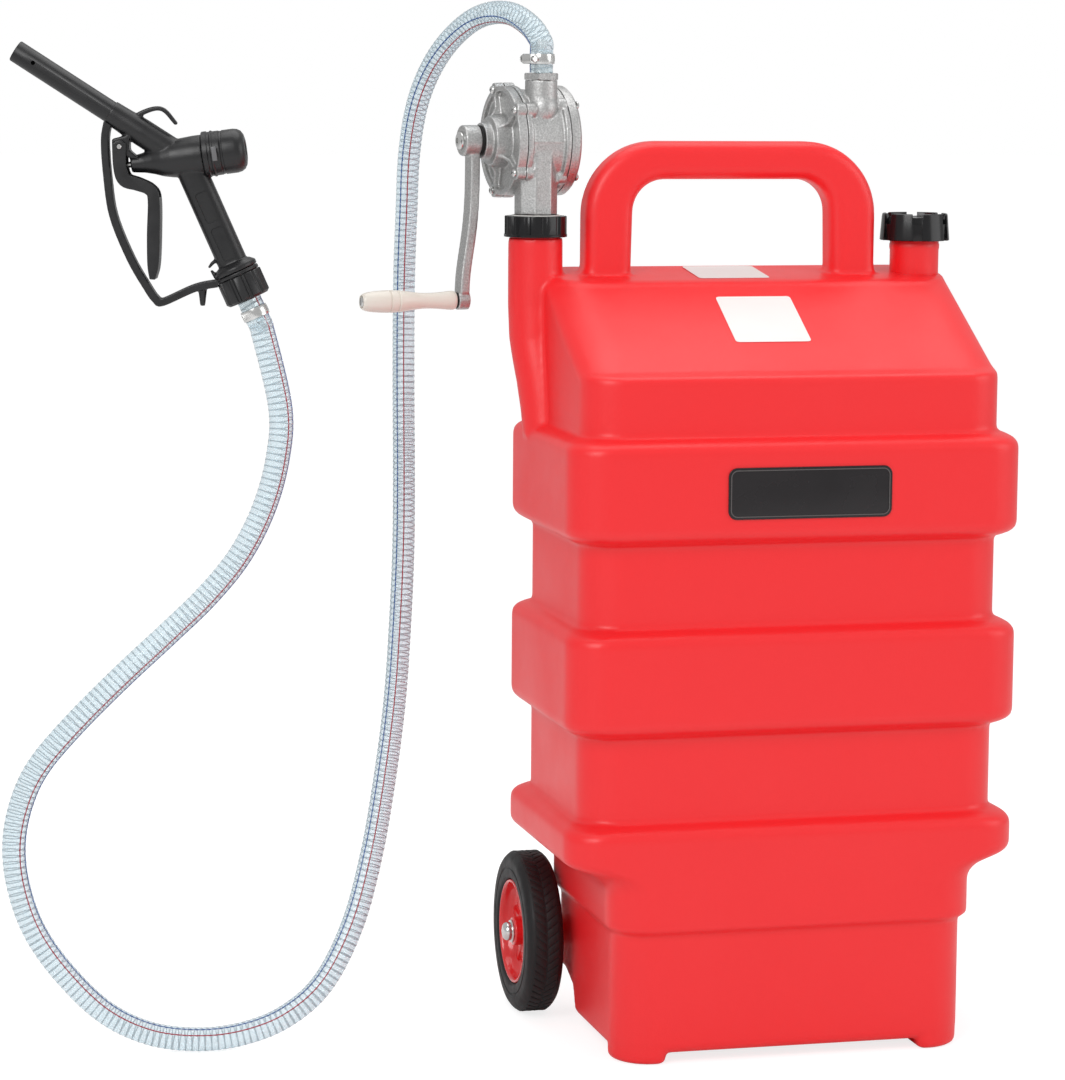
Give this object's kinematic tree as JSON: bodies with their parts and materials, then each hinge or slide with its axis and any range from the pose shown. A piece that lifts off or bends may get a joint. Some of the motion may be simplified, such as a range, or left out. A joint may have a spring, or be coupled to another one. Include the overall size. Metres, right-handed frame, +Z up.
{
  "type": "fuel caddy",
  "caption": "Upright two-wheeled plastic fuel tank with a moulded handle, a hand-crank rotary pump on its neck and a clear ribbed hose to a trigger nozzle.",
  "frame": {"origin": "on the floor under the middle of the box round the caddy, without its free hose and nozzle", "axes": "+X along the wide face towards the fill cap, with the pump and crank on -X; -Y out of the wide front face that carries the badge; +Z up"},
  "size_m": [0.9126, 0.4378, 0.9465],
  "materials": {
    "red_plastic": "finely textured satin polyethylene",
    "black_plastic": "gloss moulded",
    "badge_black": "smooth, blank",
    "nozzle_plastic": "fine matt grain",
    "white_nylon": "satin moulded",
    "carbon_vane": "ground",
    "cast_metal": "cast, lightly blasted",
    "bright_steel": "zinc plated",
    "red_paint": "gloss enamel on pressed steel",
    "tyre_rubber": "moulded tread",
    "seal_rubber": "matt",
    "cream_wood": "cream lacquer",
    "clear_hose": "clear, bluish, over a steel helix",
    "sticker_white": "blank film"
  },
  "bodies": {
    "caddy": {"axle": "bright_steel", "back_cover_screw_1": "bright_steel", "back_cover_screw_2": "bright_steel", "back_cover_screw_3": "bright_steel", "back_cover_screw_4": "bright_steel", "badge_plate": "badge_black", "collar_ring": "nozzle_plastic", "collar_tab": "white_nylon", "deck_sticker": "sticker_white", "foot_strainer": "black_plastic", "front_cover_screw_1": "bright_steel", "front_cover_screw_2": "bright_steel", "front_cover_screw_3": "bright_steel", "front_cover_screw_4": "bright_steel", "front_cover_screw_5": "bright_steel", "hose": "clear_hose", "inlet_barb": "bright_steel", "inlet_nut": "nozzle_plastic", "left_axle_nut": "bright_steel", "neck_gasket": "seal_rubber", "nozzle_body": "nozzle_plastic", "nozzle_guard": "nozzle_plastic", "nozzle_hose_clamp": "bright_steel", "nozzle_hose_clamp_screw": "bright_steel", "outlet_fitting": "cast_metal", "pump_back_cover": "cast_metal", "pump_body": "cast_metal", "pump_front_cover": "cast_metal", "pump_hose_clamp": "bright_steel", "pump_hose_clamp_screw": "bright_steel", "right_axle_nut": "bright_steel", "shaft_seal": "seal_rubber", "slope_sticker": "sticker_white", "spout": "nozzle_plastic", "suction_tube": "white_nylon", "tank_shell": "red_plastic", "trigger_pin": "bright_steel", "valve_cap": "nozzle_plastic"},
    "crank": {"pump_shaft": "bright_steel", "pump_rotor": "cast_metal", "upper_vane": "carbon_vane", "lower_vane": "carbon_vane", "crank_arm": "cast_metal", "crank_screw": "bright_steel", "grip_bolt": "bright_steel", "grip_washer": "seal_rubber"},
    "crank_handgrip": {"crank_grip": "cream_wood"},
    "left_wheel": {"left_rim": "red_paint", "left_tyre": "tyre_rubber"},
    "right_wheel": {"right_rim": "red_paint", "right_tyre": "tyre_rubber"},
    "fill_cap_carriage": {"fill_cap_gasket": "seal_rubber"},
    "fill_cap_body": {"fill_cap": "black_plastic"},
    "union_carriage": {"slip_washer": "white_nylon"},
    "union_nut_body": {"union_nut": "black_plastic"},
    "trigger_lever": {"trigger": "nozzle_plastic"},
    "valve": {"valve_stem": "bright_steel", "valve_disc": "seal_rubber", "valve_spring": "bright_steel"}
  },
  "joints": [
    {"name": "crank_spin", "type": "hinge", "parent": "caddy", "child": "crank", "pos_m": [-0.13106, 0.08155, 0.8195], "axis": [-0.9893, -0.1461, 0], "continuous": true},
    {"name": "crank_grip_spin", "type": "hinge", "parent": "crank", "child": "crank_handgrip", "pos_m": [-0.13106, 0.08155, 0.6735], "axis": [-0.9893, -0.1461, 0], "continuous": true},
    {"name": "left_wheel_spin", "type": "hinge", "parent": "caddy", "child": "left_wheel", "pos_m": [-0.12322, 0.07735, 0.076], "axis": [1, 0, 0], "continuous": true},
    {"name": "right_wheel_spin", "type": "hinge", "parent": "caddy", "child": "right_wheel", "pos_m": [0.26328, 0.07735, 0.076], "axis": [1, 0, 0], "continuous": true},
    {"name": "fill_cap_lift", "type": "slide", "parent": "caddy", "child": "fill_cap_carriage", "axis": [0, 0, 1], "range_m": [0, 0.0045]},
    {"name": "fill_cap_turn", "type": "hinge", "parent": "fill_cap_carriage", "child": "fill_cap_body", "pos_m": [0.24103, 0.05385, 0], "axis": [0, 0, 1], "range_deg": [0, 540]},
    {"name": "union_nut_lift", "type": "slide", "parent": "caddy", "child": "union_carriage", "axis": [0, 0, 1], "range_m": [0, 0.003]},
    {"name": "union_nut_turn", "type": "hinge", "parent": "union_carriage", "child": "union_nut_body", "pos_m": [-0.12697, 0.05385, 0], "axis": [0, 0, 1], "range_deg": [0, 360]},
    {"name": "trigger_pull", "type": "hinge", "parent": "caddy", "child": "trigger_lever", "pos_m": [-0.51657, -0.00327, 0.8157], "axis": [-0.2441, -0.9697, 0], "range_deg": [0, 18], "stiffness_Nm_per_rad": 2, "springref_deg": -11.46},
    {"name": "valve_slide", "type": "slide", "parent": "caddy", "child": "valve", "axis": [0.9603, -0.2417, 0.1392], "range_m": [0, 0.0061]}
  ],
  "couplings": [
    {"joint": "fill_cap_turn", "follows": "fill_cap_lift", "rad_per_m": 2094.4},
    {"joint": "union_nut_turn", "follows": "union_nut_lift", "rad_per_m": 2094.4},
    {"joint": "valve_slide", "follows": "trigger_pull", "m_per_rad": 0.0194}
  ]
}
